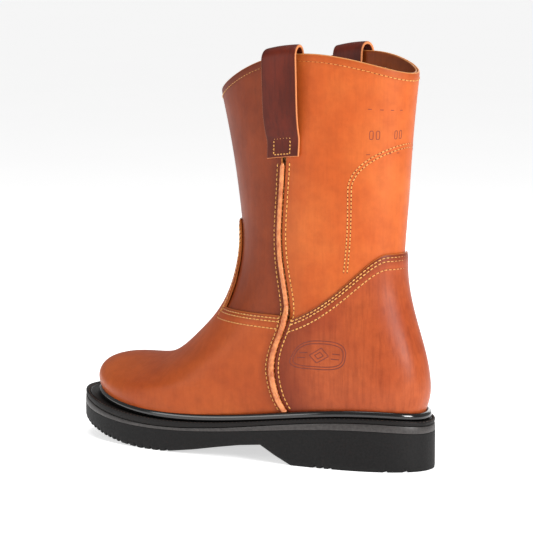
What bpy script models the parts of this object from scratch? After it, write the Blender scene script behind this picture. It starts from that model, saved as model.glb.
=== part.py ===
"""Pull-on steel toe work boot, left foot, size 27 cm, built from its leather panels to its sole.

+X is the toe, +Y the outer side of the leg, +Z up; the boot stands on z = 0.
Every upper panel is a patch of one surface, the last surface: angle phi runs round the foot
(0 at the toe, 90 degrees at the outer side, 180 at the heel) and level v runs up it, one unit
for each section in SECTIONS, from the feather edge (0) to the collar (10).
"""
import bpy
import bmesh
import numpy as np
from mathutils import Matrix

MM = 0.001
GAP = 0.3 * MM                      # air left between touching pieces

# ---- driving dimensions ------------------------------------------------------------------
KNOTS = np.radians([0, 45, 90, 135, 180])
# One row for each section of the last, in mm: front x, back x, height at each knot angle,
# half width at each knot angle, and the x of the side seam. The last row is the collar.
SECTIONS = np.array([
    (138, -146,   37, 31, 31.5, 43, 42,        52, 55, 41, 42, 42,   -56),
    (142, -149.5, 48, 38, 41, 55, 55,        54, 58, 43, 44, 43,   -50),
    (134, -149,   58, 46, 55, 68, 68,        52, 57, 44, 44, 42,   -46),
    (108, -146,   63, 53, 69, 82, 82,        44, 52, 43, 43, 41,   -45),
    (74,  -140.5, 67, 68, 86, 98, 99,        34, 46, 42, 42, 40,   -49),
    (46,  -134.5, 86, 90, 106, 117, 118,     32, 42, 41, 41, 39,   -56),
    (20,  -130,   113, 120, 131, 141, 143,   36, 41, 41, 40, 38,   -55),
    (6,   -130.5, 153, 157, 164, 170, 172,   40, 42, 42, 40, 39,   -51),
    (7,   -133,   190, 194, 200, 204, 204,   42, 43, 43, 42, 40,   -53),
    (14,  -136,   231, 238, 248, 248, 245,   44, 45, 45, 43, 42,   -57),
    (24,  -141,   272, 284, 303, 298, 290,   46, 47, 48, 45, 44,   -58),
])
SQUARENESS = np.array([0.85, 0.85, 0.85, 0.87, 0.90, 0.95, 1, 1, 1, 1, 1])
CENTRE_SHIFT = (-0.75 * MM, 0.1 * MM)    # brings the middle of the footprint to the origin at the end
TOE_SWING = 6 * MM                  # how far the toe leans to the inner side
TOE_SWING_FROM = 10 * MM            # x where that lean starts
TOE_SWING_OVER = 130 * MM
COLLAR = len(SECTIONS) - 1

# The edge of the sole, drawn the same way as a section of the last.
SOLE_FRONT, SOLE_BACK = 157 * MM, -155.5 * MM
SOLE_HALF_WIDTHS = MM * np.array([61, 64.5, 49.5, 51, 50])
SOLE_SQUARENESS = 0.84
FEATHER_HEIGHTS = MM * SECTIONS[0, 2:7]
WELT_DROP = 5 * MM                  # feather edge down to the top of the welt
MIDSOLE_TOP = MM * np.array([28.5, 21.5, 23.5, 35.5, 34.5])
OUTSOLE_TOP = MM * np.array([22, 17.5, 20, 29.5, 28.5])
# Underside of the unit sole in mm, x against height: heel, slanted breast, arch, ball, toe spring.
UNDERSIDE = MM * np.array([
    (-160, 0), (-62, 0), (-48, 6.5), (-36, 13), (-18, 11), (0, 8), (22, 4),
    (42, 1), (52, 0), (72, 0), (92, 1.6), (112, 4.6), (132, 9), (162, 18),
])
GROOVE_WIDTH, GROOVE_DEPTH = 4 * MM, 3 * MM
FOREPART_GROOVES = MM * np.arange(50, 145, 11.0)
HEEL_GROOVES = MM * np.array([-82, -94, -134, -146])

# Layers of the upper, as offsets outward from the last surface: inner face, outer face.
OUTER_LAYER = (0.5 * MM, 2.5 * MM)
MIDDLE_LAYER = (-2.0 * MM, 0.0)
STIFF_LAYER = (-2.6 * MM, -0.8 * MM)
STAY_LAYER = (-3.5 * MM, -2.6 * MM)
LINING_LAYER = (-5.0 * MM, -4.1 * MM)
FACING_LAYER = (-3.6 * MM, -2.6 * MM)

LASTED_EDGE = -0.25                 # level of the lower edge of vamp and counter, tucked under
LINING_EDGE = 0.03                  # level of the lower edge of the inner layers
VAMP_TOP, TONGUE_TOP = 111 * MM, 178 * MM
TONGUE_SIDES = np.radians([26, 42])
COUNTER_SIDE, COUNTER_PEAK = 109 * MM, 160 * MM
UNDERLAP = 12 * MM                  # how far a shaft panel runs under the vamp or counter
LINING_JOIN = 4.6                   # level where foot lining and shaft lining meet
FACING_EDGE = 9.8                   # level of the lower edge of the collar facing
SEAM_GAP = 1.5 * MM                 # each panel stops this far from the seam line
CAP_BACK = 88 * MM                  # x of the rear edge of the steel toe cap
CAP_SIDE = np.radians(48)
CAP_STRIP = 9 * MM
STIFFENER_SIDE = np.radians(118)
STIFFENER_DROP = 14 * MM            # below the counter's edge
STAY_SIDE = np.radians(128)
STAY_LEVELS = (6.35, 8.75)

STRAP_WIDTH, STRAP_THICKNESS = 28 * MM, 2.4 * MM
STRAP_OUT, STRAP_IN = 6.2 * MM, -5.5 * MM      # inner face of the two legs, off the last surface
STRAP_SEWN = 0.35 * MM
STRAP_OUTER_LEG, STRAP_SEWN_LENGTH, STRAP_INNER_LEG = 74 * MM, 13 * MM, 45 * MM
STRAP_ARC_DROP = 0.8 * MM           # centre of the loop's arc, below the collar

BEAD_HALF, STEM_HALF, BEAD_RISE = 2.4 * MM, 0.7 * MM, 2.2 * MM
BEAD_LIFT = 3.7 * MM                # underside of the bead where it lies over vamp and counter
PIPING_FOOT, PIPING_FADE = 0.22, (8.35, 8.55)
BOARD_THICKNESS, FOAM_THICKNESS, COVER_THICKNESS = 3 * MM, 4 * MM, 1.2 * MM
BOARD_DROP = 0.7 * MM               # feather edge down to the top of the insole board
SHANK_WIDTH, SHANK_THICKNESS = 16 * MM, 1.8 * MM
SHANK_ENDS = (-95 * MM, 12 * MM)
RIVET_XS = (-84 * MM, 0.0)
RIVET_RADIUS, RIVET_HEAD = 1.8 * MM, 4 * MM
FOOTBED_HANDLE_X = 100 * MM         # x of the footbed's origin
BOARD_REACH, FOAM_REACH, COVER_REACH = -0.32, -0.66, -0.68
RIB_REACH, FILLER_REACH = (-0.78, -0.64), -0.9
FOREFOOT_FILLER, HEEL_FILLER = (130 * MM, 26 * MM), (-102 * MM, -134 * MM)
RAND_OUT, RAND_DROP = 6.6 * MM, 2.0 * MM        # its middle, outside and below the feather edge
RAND_HALF_WIDTH, RAND_HALF_HEIGHT = 1.8 * MM, 2.7 * MM
WELT_REACH, MIDSOLE_REACH = (-0.5, 0.97), 0.94
CUTTER_HALF, CUTTER_DEPTH = 90 * MM, 10 * MM    # half width of a groove cutter, and how deep it starts


# ---- the last surface ---------------------------------------------------------------------
FAN = np.linalg.inv(np.cos(np.outer(KNOTS, np.arange(5))))


def round_foot(values, phi):
    """Value at angle phi from its values at the knots: a cosine series, even in phi."""
    series = np.asarray(values) @ FAN.T
    return (series * np.cos(np.asarray(phi)[..., None] * np.arange(5))).sum(-1)


def natural_spline(rows, level):
    """Natural cubic spline through equally spaced rows, straight beyond its ends."""
    count = len(rows)
    matrix = np.eye(count)
    bend = np.zeros_like(rows)
    for i in range(1, count - 1):
        matrix[i, i - 1:i + 2] = (1, 4, 1)
        bend[i] = 3 * (rows[i + 1] - 2 * rows[i] + rows[i - 1])
    bend = np.linalg.solve(matrix, bend)
    inside = np.clip(level, 0, count - 1)
    i = np.clip(np.floor(inside).astype(int), 0, count - 2)
    t = (inside - i)[..., None]
    slope = rows[i + 1] - rows[i] - (2 * bend[i] + bend[i + 1]) / 3
    cubic = (bend[i + 1] - bend[i]) / 3
    value = rows[i] + slope * t + bend[i] * t ** 2 + cubic * t ** 3
    end_slope = slope + 2 * bend[i] * t + 3 * cubic * t ** 2
    return value + end_slope * (level - inside)[..., None]


def outline(phi, front, back, half_width, squareness):
    """x and y on a foot outline; the toe leans to the inner side."""
    x = (front + back) / 2 + (front - back) / 2 * np.cos(phi)
    side = np.sin(phi)
    lean = np.clip((x - TOE_SWING_FROM) / TOE_SWING_OVER, 0, 1)
    y = half_width * np.sign(side) * np.abs(side) ** squareness
    return x, y - TOE_SWING * lean ** 2 * (3 - 2 * lean)


ROWS = np.column_stack([SECTIONS * MM, SQUARENESS])


def last_point(phi, level):
    """Point of the last surface at angle phi and level v."""
    phi, level = np.broadcast_arrays(np.asarray(phi, float), np.asarray(level, float))
    row = natural_spline(ROWS, level)
    half_width = round_foot(row[..., 7:12], phi)
    x, y = outline(phi, row[..., 0], row[..., 1], half_width, row[..., 13])
    return np.stack([x, y, round_foot(row[..., 2:7], phi)], -1)


def last_normal(phi, level):
    """Outward unit normal of the last surface, from small steps each way."""
    step = 0.01
    around = last_point(phi + step, level) - last_point(phi - step, level)
    upward = last_point(phi, level + step) - last_point(phi, level - step)
    normal = np.cross(around, upward)
    return normal / np.linalg.norm(normal, axis=-1, keepdims=True)


def raised(phi, level, offset):
    """Point of the last surface, moved outward by offset."""
    return last_point(phi, level) + np.asarray(offset)[..., None] * last_normal(phi, level)


def level_at_height(phi, height):
    """Level where the last surface reaches a height, above the toe box."""
    levels = np.linspace(2.0, COLLAR, 400)
    flat = np.broadcast_arrays(phi, height)
    found = [np.interp(h, last_point(p, levels)[:, 2], levels)
             for p, h in zip(flat[0].ravel(), flat[1].ravel())]
    return np.array(found).reshape(flat[0].shape)


def seam_angle(level):
    """Angle of the side seam at a level, from the seam's x."""
    row = natural_spline(ROWS, np.asarray(level, float))
    centre, reach = (row[..., 0] + row[..., 1]) / 2, (row[..., 0] - row[..., 1]) / 2
    return np.arccos((row[..., 12] - centre) / reach)


def sideways(level, distance):
    """Angle that moves a point round the leg by a distance, near the side seam."""
    row = natural_spline(ROWS, np.asarray(level, float))
    return distance / ((row[..., 0] - row[..., 1]) / 2)


def smooth(t):
    t = np.clip(t, 0, 1)
    return t * t * (3 - 2 * t)


def collar_level(phi):
    """The collar's level, the same at every angle."""
    return np.full_like(phi, float(COLLAR))


def vamp_edge(phi):
    """Height of the vamp's upper edge: level at the sides, with a tongue up the front."""
    start, end = TONGUE_SIDES
    tongue = 1 - smooth((np.abs(phi) - start) / (end - start))
    return VAMP_TOP + (TONGUE_TOP - VAMP_TOP) * tongue


def counter_edge(phi):
    """Height of the counter's upper edge, rising from the seams to a peak at the back."""
    return COUNTER_SIDE - (COUNTER_PEAK - COUNTER_SIDE) * np.cos(phi)


# ---- mesh makers ----------------------------------------------------------------------------
def make_object(name, verts, faces, finish, smooth_angle=35):
    """One closed mesh as an object with its own material."""
    mesh = bpy.data.meshes.new(name)
    mesh.from_pydata([tuple(p) for p in verts], [], faces)
    work = bmesh.new()
    work.from_mesh(mesh)
    bmesh.ops.recalc_face_normals(work, faces=work.faces)
    work.to_mesh(mesh)
    work.free()
    mesh.shade_smooth()
    mesh.set_sharp_from_angle(angle=np.radians(smooth_angle))
    piece = bpy.data.objects.new(name, mesh)
    bpy.context.collection.objects.link(piece)
    colour, roughness, metallic = finish
    material = bpy.data.materials.new(name)
    material.use_nodes = True
    shader = material.node_tree.nodes["Principled BSDF"]
    shader.inputs["Base Color"].default_value = (*colour, 1)
    shader.inputs["Roughness"].default_value = roughness
    shader.inputs["Metallic"].default_value = metallic
    mesh.materials.append(material)
    return piece


def loft(name, rings, finish, closed=False):
    """Skin through rings of points. Open ends are capped by rungs from each ring's halves."""
    count, size = rings.shape[:2]
    faces = []
    for i in range(count if closed else count - 1):
        a, b = i * size, (i + 1) % count * size
        for j in range(size):
            k = (j + 1) % size
            faces.append((a + j, a + k, b + k, b + j))
    if not closed:
        for a in (0, (count - 1) * size):
            for j in range(size // 2 - 1):
                faces.append((a + j, a + j + 1, a + size - 2 - j, a + size - 1 - j))
    return make_object(name, rings.reshape(-1, 3), faces, finish)


def panel(name, phi, level, layer, finish, closed=False):
    """Leather panel over a grid of angles and levels, columns round the foot, rows up it."""
    inner, outer = (raised(phi, level, np.full(phi.shape, face)) for face in layer)
    rings = np.concatenate([outer, inner[::-1]]).swapaxes(0, 1)
    return loft(name, rings, finish, closed)


def grid_between(columns, low, high, rows):
    """Angles and levels of a panel from its lower to its upper level in each column."""
    t = np.linspace(0, 1, rows)[:, None]
    return np.broadcast_to(columns, (rows, len(columns))), low + (high - low) * t


def half_panel(back, low, high, columns, rows, crowding=1.0):
    """Grid of a panel between the two side seams, in front of them or behind them.

    low and high give the level at an angle; the angle is a share of the seam's angle, which
    changes with level, so the two are settled by a few rounds of substitution. A crowding
    above 1 puts more rows low down.
    """
    share = np.linspace(-1, 1, columns)
    t = np.linspace(0, 1, rows)[:, None] ** crowding
    phi = share * np.pi / 2 + (np.pi if back else 0)
    level = low(phi) + (high(phi) - low(phi)) * t
    for _ in range(6):
        half = seam_angle(level)
        if back:
            half = np.pi - half
        phi = share * (half - sideways(level, SEAM_GAP)) + (np.pi if back else 0)
        bottom, top = low(phi[0]), high(phi[-1])
        level = bottom + (top - bottom) * t
    return phi, level


def feather_share(x):
    """Place of x along the feather edge: 1 at its toe end and -1 at its heel end."""
    front, back = ROWS[0, :2]
    return (x - (front + back) / 2) / ((front - back) / 2)


def height_at(x, heights):
    """Height at x from the heights at the knot angles: the same cosine series, as a curve in x."""
    return np.polynomial.chebyshev.chebval(feather_share(x), FAN @ heights)


def sole_point(phi, reach, heights):
    """Point of the sole: reach is 0 at the feather edge and 1 at the sole's edge.

    Its height depends on x alone, so that boards that lie on each other keep their gap.
    """
    row = ROWS[0]
    x0, y0 = outline(phi, row[0], row[1], round_foot(row[7:12], phi), row[13])
    x1, y1 = outline(phi, SOLE_FRONT, SOLE_BACK, round_foot(SOLE_HALF_WIDTHS, phi), SOLE_SQUARENESS)
    x, y = x0 + (x1 - x0) * reach, y0 + (y1 - y0) * reach
    return np.stack([x, y, height_at(x, heights)], -1)


def off_feather(phi, distance):
    """Reach of the point at a distance outside the feather edge."""
    feather, edge = (sole_point(phi, reach, FEATHER_HEIGHTS)[..., :2] for reach in (0, 1))
    return distance / np.linalg.norm(edge - feather, axis=-1)


def strip(name, profile, finish, count=52):
    """Closed strip round the sole: profile is a list of (reach or its function, knot heights)."""
    phi = np.linspace(0, 2 * np.pi, count, endpoint=False)
    rings = np.stack([sole_point(phi, reach(phi) if callable(reach) else reach, heights)
                      for reach, heights in profile], 1)
    return loft(name, rings, finish, closed=True)


def plate(name, phi, top, bottom, finish):
    """Board across the sole: top and bottom are (reach, heights); each phi gives one rung."""
    left_top, right_top = sole_point(phi, *top), sole_point(-phi, *top)
    left_low, right_low = sole_point(phi, *bottom), sole_point(-phi, *bottom)
    return loft(name, np.stack([left_top, right_top, right_low, left_low], 1), finish)


def rung_angles(front, back, count):
    """Angles of rungs from x = front back to x = back on the feather outline."""
    shares = np.clip(feather_share(np.array([front, back])), -0.9985, 0.9985)
    return np.linspace(*np.arccos(shares), count)


def cut(target, cutter):
    """Boolean difference, applied, with the cutter removed."""
    modifier = target.modifiers.new("cut", "BOOLEAN")
    modifier.operation = "DIFFERENCE"
    modifier.solver = "EXACT"
    modifier.object = cutter
    graph = bpy.context.evaluated_depsgraph_get()
    result = bpy.data.meshes.new_from_object(target.evaluated_get(graph))
    target.modifiers.clear()
    target.data = result
    bpy.data.objects.remove(cutter)


def cylinder(name, centre, radius, low, high, finish, sides=16):
    """Upright round bar."""
    angle = np.linspace(0, 2 * np.pi, sides, endpoint=False) + np.pi / sides
    ring = np.stack([centre[0] + radius * np.cos(angle), centre[1] + radius * np.sin(angle)], -1)
    rings = np.stack([np.column_stack([ring, np.full(sides, z)]) for z in (low, high)])
    return loft(name, rings, finish)


def set_origin(piece, point):
    """Move an object's origin to a point and leave its mesh where it is."""
    piece.data.transform(Matrix.Translation(point).inverted())
    piece.location = point


# ---- finishes: colour, roughness, metallic ------------------------------------------------------
TAN_LEATHER = ((0.50, 0.15, 0.040), 0.45, 0)
VAMP_LEATHER = ((0.43, 0.11, 0.028), 0.42, 0)
COUNTER_LEATHER = ((0.38, 0.085, 0.030), 0.38, 0)
STRAP_LEATHER = ((0.14, 0.022, 0.008), 0.5, 0)
PIPING_LEATHER = ((0.62, 0.22, 0.075), 0.5, 0)
LINING_CLOTH = ((0.50, 0.33, 0.18), 0.9, 0)
BOARD = ((0.36, 0.25, 0.15), 0.85, 0)
CORK = ((0.30, 0.17, 0.08), 0.9, 0)
STEEL = ((0.55, 0.56, 0.58), 0.35, 1)
BRASS = ((0.70, 0.50, 0.20), 0.35, 1)
GLOSS_BLACK = ((0.006, 0.006, 0.006), 0.12, 0)
WELT_BLACK = ((0.014, 0.012, 0.011), 0.5, 0)
MIDSOLE_GREY = ((0.055, 0.050, 0.050), 0.6, 0)
RUBBER = ((0.020, 0.018, 0.018), 0.65, 0)
FOAM = ((0.55, 0.55, 0.50), 0.95, 0)


# ---- upper ------------------------------------------------------------------------------------
def vamp():
    """Front of the foot, from seam to seam, with the tongue that runs up the instep."""
    phi, level = half_panel(False, lambda p: np.full_like(p, LASTED_EDGE),
                            lambda p: level_at_height(p, vamp_edge(p)), 33, 14, 1.3)
    return panel("vamp", phi, level, OUTER_LAYER, VAMP_LEATHER)


def counter():
    """Heel cover, from seam to seam round the back."""
    phi, level = half_panel(True, lambda p: np.full_like(p, LASTED_EDGE),
                            lambda p: level_at_height(p, counter_edge(p)), 23, 11)
    return panel("counter_cover", phi, level, OUTER_LAYER, COUNTER_LEATHER)


def shafts():
    """Front and back leg panels; each runs a little way under the vamp or the counter."""
    phi, level = half_panel(False, lambda p: level_at_height(p, VAMP_TOP - UNDERLAP), collar_level, 15, 10)
    panel("front_shaft", phi, level, MIDDLE_LAYER, TAN_LEATHER)
    phi, level = half_panel(True, lambda p: level_at_height(p, counter_edge(p) - UNDERLAP),
                            collar_level, 23, 10)
    panel("back_shaft", phi, level, MIDDLE_LAYER, TAN_LEATHER)


def side_piping(name, side):
    """Leather piping in the side seam: a stem between the panels and a round bead outside.

    The bead lies over the vamp and counter low down, drops to the shaft above their edges,
    and ends below the pull strap, where only the stem goes on to the collar.
    """
    level = np.concatenate([np.linspace(PIPING_FOOT, 5.6, 16), np.linspace(5.9, PIPING_FADE[0], 7),
                            np.linspace(*PIPING_FADE, 4)[1:], (9.3, COLLAR)])
    phi = seam_angle(level)
    height = last_point(phi, level)[:, 2]
    base = BEAD_LIFT - (BEAD_LIFT - GAP) * smooth((height - VAMP_TOP - 5 * MM) / (9 * MM))
    bead = 1 - smooth((level - PIPING_FADE[0]) / (PIPING_FADE[1] - PIPING_FADE[0]))
    half = STEM_HALF + (BEAD_HALF - STEM_HALF) * bead
    top = base + BEAD_RISE * bead - 0.5 * MM * (1 - bead)
    shoulder = base - 0.6 * MM * (1 - bead)
    stem = np.full_like(level, STEM_HALF)
    root = np.full_like(level, -1.9 * MM)
    across = np.stack([-stem, -stem, -half, -0.6 * half, 0.6 * half, half, stem, stem], 1)
    middle = (shoulder + top) / 2
    out = np.stack([root, shoulder - 0.1 * MM, middle, top, top, middle, shoulder - 0.1 * MM, root], 1)
    angle = phi[:, None] + sideways(level[:, None], across)
    rings = raised(side * angle, np.broadcast_to(level[:, None], angle.shape), out)
    loft(name, rings, PIPING_LEATHER)


def strap_path():
    """Inner face of a pull strap as (offset from the last surface, height against the collar)."""
    leg = [(STRAP_SEWN, -STRAP_OUTER_LEG), (STRAP_SEWN, -STRAP_OUTER_LEG + STRAP_SEWN_LENGTH),
           (0.5 * STRAP_OUT, -54 * MM), (0.85 * STRAP_OUT, -44 * MM), (STRAP_OUT, -30 * MM),
           (STRAP_OUT, -12 * MM)]
    centre, radius = (STRAP_OUT + STRAP_IN) / 2, (STRAP_OUT - STRAP_IN) / 2
    turn = np.radians(np.arange(0, 181, 22.5))
    loop = [(centre + radius * np.cos(a), radius * np.sin(a) - STRAP_ARC_DROP) for a in turn]
    return np.array(leg + loop + [(STRAP_IN, -14 * MM), (STRAP_IN, -30 * MM), (STRAP_IN, -STRAP_INNER_LEG)])


def strap_surface(side, path):
    """Points of a strap face: each path point spread across the strap's width."""
    across = np.linspace(-0.5, 0.5, 4) * STRAP_WIDTH
    collar_height = last_point(seam_angle(COLLAR), COLLAR)[2]
    level = level_at_height(np.pi / 2, collar_height + np.minimum(path[:, 1], 0))
    level = np.minimum(level, COLLAR)[:, None]
    phi = seam_angle(level) + sideways(level, across[None])
    points = raised(side * phi, np.broadcast_to(level, phi.shape), path[:, 0][:, None] + 0 * phi)
    points[..., 2] += np.maximum(path[:, 1], 0)[:, None]
    return points


def pull_strap(name, side):
    """Leather loop over the collar: sewn low on the outside and inside, free above."""
    inner = strap_path()
    along = np.gradient(inner, axis=0)
    outward = np.column_stack([along[:, 1], -along[:, 0]])
    outward /= np.linalg.norm(outward, axis=1, keepdims=True)
    outer = inner + STRAP_THICKNESS * outward
    rings = np.concatenate([strap_surface(side, inner), strap_surface(side, outer)[:, ::-1]], 1)
    piece = loft(name, rings, STRAP_LEATHER)
    set_origin(piece, tuple(strap_surface(side, inner)[0].mean(0)))


def ring_panel(name, low, high, layer, columns, rows, finish):
    """Band all the way round the leg or foot."""
    phi = np.linspace(0, 2 * np.pi, columns, endpoint=False)
    phi, level = grid_between(phi, low, high, rows)
    panel(name, phi, level, layer, finish, closed=True)


def linings():
    ring_panel("collar_facing", FACING_EDGE, COLLAR, FACING_LAYER, 36, 2, TAN_LEATHER)
    ring_panel("shaft_lining", LINING_JOIN + 0.03, FACING_EDGE - 0.03, LINING_LAYER, 30, 8, LINING_CLOTH)
    ring_panel("foot_lining", LINING_EDGE, LINING_JOIN, LINING_LAYER, 36, 7, LINING_CLOTH)


# ---- stiffeners between upper and lining --------------------------------------------------------
def toe_box_level(phi, back):
    """Level where the surface at each angle passes behind x = back."""
    levels = np.linspace(0, 5, 200)
    return np.array([np.interp(-back, -last_point(p, levels[20:])[:, 0], levels[20:]) for p in phi])


def toe_cap():
    """Steel dome over the toes, and the soft strip along its rear edge."""
    phi = np.linspace(-CAP_SIDE, CAP_SIDE, 21)
    top = toe_box_level(phi, CAP_BACK)
    panel("steel_toe_cap", *grid_between(phi, np.full_like(phi, LINING_EDGE), top, 7),
          STIFF_LAYER, STEEL)
    low, high = toe_box_level(phi, CAP_BACK - 0.6 * MM), toe_box_level(phi, CAP_BACK - CAP_STRIP)
    panel("toe_cap_edge_strip", *grid_between(phi, low, high, 2), STIFF_LAYER, RUBBER)


def heel_stiffener():
    phi = np.linspace(STIFFENER_SIDE, 2 * np.pi - STIFFENER_SIDE, 13)
    top = level_at_height(phi, counter_edge(phi) - STIFFENER_DROP)
    panel("heel_stiffener", *grid_between(phi, np.full_like(phi, LINING_EDGE), top, 6),
          STIFF_LAYER, BOARD)


def back_stay():
    """Inner leather that strengthens the back of the leg, with an arched top."""
    phi = np.linspace(STAY_SIDE, 2 * np.pi - STAY_SIDE, 13)
    low, high = STAY_LEVELS
    arch = np.sqrt(1 - (0.95 * (phi - np.pi) / (np.pi - STAY_SIDE)) ** 2)
    panel("back_stay", *grid_between(phi, np.full_like(phi, low), high - 0.8 * (1 - arch), 6),
          STAY_LAYER, TAN_LEATHER)


# ---- bottom -------------------------------------------------------------------------------------
def underside(x):
    return np.interp(x, UNDERSIDE[:, 0], UNDERSIDE[:, 1])


def rand():
    """Glossy bead between the upper and the welt: an oval strip round the whole boot."""
    turn = np.linspace(0, 2 * np.pi, 8, endpoint=False) + np.pi / 8
    across = RAND_OUT + RAND_HALF_WIDTH * np.cos(turn) / np.cos(np.pi / 8)
    rise = RAND_HALF_HEIGHT * np.sin(turn) / np.cos(np.pi / 8) - RAND_DROP
    profile = [(lambda phi, d=d: off_feather(phi, d), FEATHER_HEIGHTS + h) for d, h in zip(across, rise)]
    strip("rand", profile, GLOSS_BLACK)


def welt_and_midsole():
    top, bottom = FEATHER_HEIGHTS - WELT_DROP, MIDSOLE_TOP
    inside, outside = WELT_REACH
    strip("welt", [(inside, top), (outside, top), (outside, bottom), (inside, bottom)], WELT_BLACK)
    phi = rung_angles(1, -1, 27)
    plate("midsole", phi, (MIDSOLE_REACH, MIDSOLE_TOP - 2 * GAP), (1.0, OUTSOLE_TOP + GAP), MIDSOLE_GREY)


def outsole():
    """Unit sole and heel in one rubber moulding, with cross grooves."""
    stations = np.concatenate([SOLE_BACK + MM * np.array([0.5, 3, 8, 16, 28, 45, 65]),
                               UNDERSIDE[1:-1, 0],
                               SOLE_FRONT - MM * np.array([12, 6, 2.5, 0.6])])
    centre, half = (SOLE_FRONT + SOLE_BACK) / 2, (SOLE_FRONT - SOLE_BACK) / 2
    phi = np.arccos((np.sort(stations)[::-1] - centre) / half)
    top = [sole_point(a, 1.0, OUTSOLE_TOP) for a in (phi, -phi)]
    low = [point.copy() for point in top]
    for point in low:
        point[:, 2] = underside(point[:, 0])
    piece = loft("outsole", np.stack([top[0], top[1], low[1], low[0]], 1), RUBBER)
    for i, x in enumerate(np.concatenate([HEEL_GROOVES, FOREPART_GROOVES])):
        floor = underside(x) + GROOVE_DEPTH
        corners = [(x + sx * GROOVE_WIDTH / 2, y, z)
                   for z in (-CUTTER_DEPTH, floor)
                   for sx, y in ((-1, -CUTTER_HALF), (1, -CUTTER_HALF), (1, CUTTER_HALF), (-1, CUTTER_HALF))]
        cutter = loft(f"groove_cutter_{i}", np.array(corners).reshape(2, 4, 3), RUBBER)
        cutter.hide_render = True
        cutter.display_type = "WIRE"
        cut(piece, cutter)


def insole():
    """Insole board with its sewing rib, the fillers under it, and the footbed on top."""
    board_top = FEATHER_HEIGHTS - BOARD_DROP
    board_bottom = board_top - BOARD_THICKNESS
    phi = rung_angles(1, -1, 25)
    board = plate("insole_board", phi, (BOARD_REACH, board_top), (BOARD_REACH, board_bottom), BOARD)
    rib_top, rib_bottom = board_bottom - GAP, MIDSOLE_TOP + GAP
    inside, outside = RIB_REACH
    strip("insole_rib", [(inside, rib_top), (outside, rib_top), (outside, rib_bottom), (inside, rib_bottom)],
          BOARD, 40)
    under = (FILLER_REACH, rib_top)
    filler_bottom = (FILLER_REACH, MIDSOLE_TOP)
    plate("forefoot_filler", rung_angles(*FOREFOOT_FILLER, 10), under, filler_bottom, CORK)
    plate("heel_seat_filler", rung_angles(*HEEL_FILLER, 6), under, filler_bottom, CORK)
    shank(board, board_bottom)


def shank(board, board_bottom):
    """Spring steel strip under the waist of the board, held by two rivets."""
    phi = rung_angles(SHANK_ENDS[1], SHANK_ENDS[0], 9)
    top = sole_point(phi, 0, board_bottom - GAP)
    rings = np.stack([top, top, top, top], 1)
    rings[:, :, 1] = np.array([1, -1, -1, 1]) * SHANK_WIDTH / 2
    rings[:, 2:, 2] -= SHANK_THICKNESS
    strip_piece = loft("steel_shank", rings, STEEL)
    for name, x in zip(("shank_rivet_rear", "shank_rivet_front"), RIVET_XS):
        height = height_at(x, board_bottom)
        for target in (board, strip_piece):
            cutter = cylinder("rivet_hole", (x, 0), RIVET_RADIUS + GAP, height - 8 * MM, height + 8 * MM, STEEL)
            cutter.hide_render = True
            cutter.display_type = "WIRE"
            cut(target, cutter)
        cylinder(name, (x, 0), RIVET_RADIUS, height - SHANK_THICKNESS - 1.2 * MM,
                 height + BOARD_THICKNESS - 0.5 * MM, BRASS, 12)


def footbed():
    """Removable footbed: a foam slab under a cloth cover, which lift out together."""
    rest = FEATHER_HEIGHTS - BOARD_DROP + GAP
    phi = rung_angles(1, -1, 21)
    foam_top = rest + FOAM_THICKNESS
    cover = foam_top + GAP
    handle = (FOOTBED_HANDLE_X, 0, float(height_at(FOOTBED_HANDLE_X, rest)))
    foam = plate("footbed_foam", phi, (FOAM_REACH, foam_top), (FOAM_REACH, rest), FOAM)
    skin = plate("footbed_cover", phi, (COVER_REACH, cover + COVER_THICKNESS), (COVER_REACH, cover), LINING_CLOTH)
    for piece in (foam, skin):
        set_origin(piece, handle)


for old in list(bpy.data.objects):
    bpy.data.objects.remove(old)
vamp()
counter()
shafts()
side_piping("left_side_piping", 1)
side_piping("right_side_piping", -1)
pull_strap("left_pull_strap", 1)
pull_strap("right_pull_strap", -1)
linings()
toe_cap()
heel_stiffener()
back_stay()
rand()
welt_and_midsole()
outsole()
insole()
footbed()
for piece in bpy.data.objects:
    piece.location.x += CENTRE_SHIFT[0]
    piece.location.y += CENTRE_SHIFT[1]
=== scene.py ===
"""Looks of the pull-on steel toe work boot, piece by piece in the order it is put together.

+X is the toe, +Y the outer side of the leg, +Z up, in metres; the boot stands on z = 0.
"""

import bmesh
import bpy
import numpy as np
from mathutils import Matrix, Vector


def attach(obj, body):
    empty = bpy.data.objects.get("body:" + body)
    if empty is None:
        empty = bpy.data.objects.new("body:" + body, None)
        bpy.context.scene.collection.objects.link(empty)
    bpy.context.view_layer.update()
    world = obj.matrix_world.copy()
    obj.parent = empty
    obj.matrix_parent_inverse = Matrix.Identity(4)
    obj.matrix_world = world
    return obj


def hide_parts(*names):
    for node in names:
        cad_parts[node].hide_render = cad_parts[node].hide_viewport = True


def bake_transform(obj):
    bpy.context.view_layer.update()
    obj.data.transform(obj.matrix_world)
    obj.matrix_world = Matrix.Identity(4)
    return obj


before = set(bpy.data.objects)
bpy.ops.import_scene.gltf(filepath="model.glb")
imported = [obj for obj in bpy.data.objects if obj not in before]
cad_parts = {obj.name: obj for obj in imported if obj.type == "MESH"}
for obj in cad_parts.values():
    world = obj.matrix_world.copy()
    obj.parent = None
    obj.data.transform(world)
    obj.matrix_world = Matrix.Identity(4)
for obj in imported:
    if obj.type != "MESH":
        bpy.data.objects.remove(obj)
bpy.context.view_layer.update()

MM = 0.001

# ==== Vamp ======================================
# The front of the foot: one piece of oiled pull-up cowhide, 2 mm thick, with a tongue that
# runs up the instep. It is pulled wet over the last, so it has no fold, and it is stitched
# over the front shaft with three rows of thread.

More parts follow.
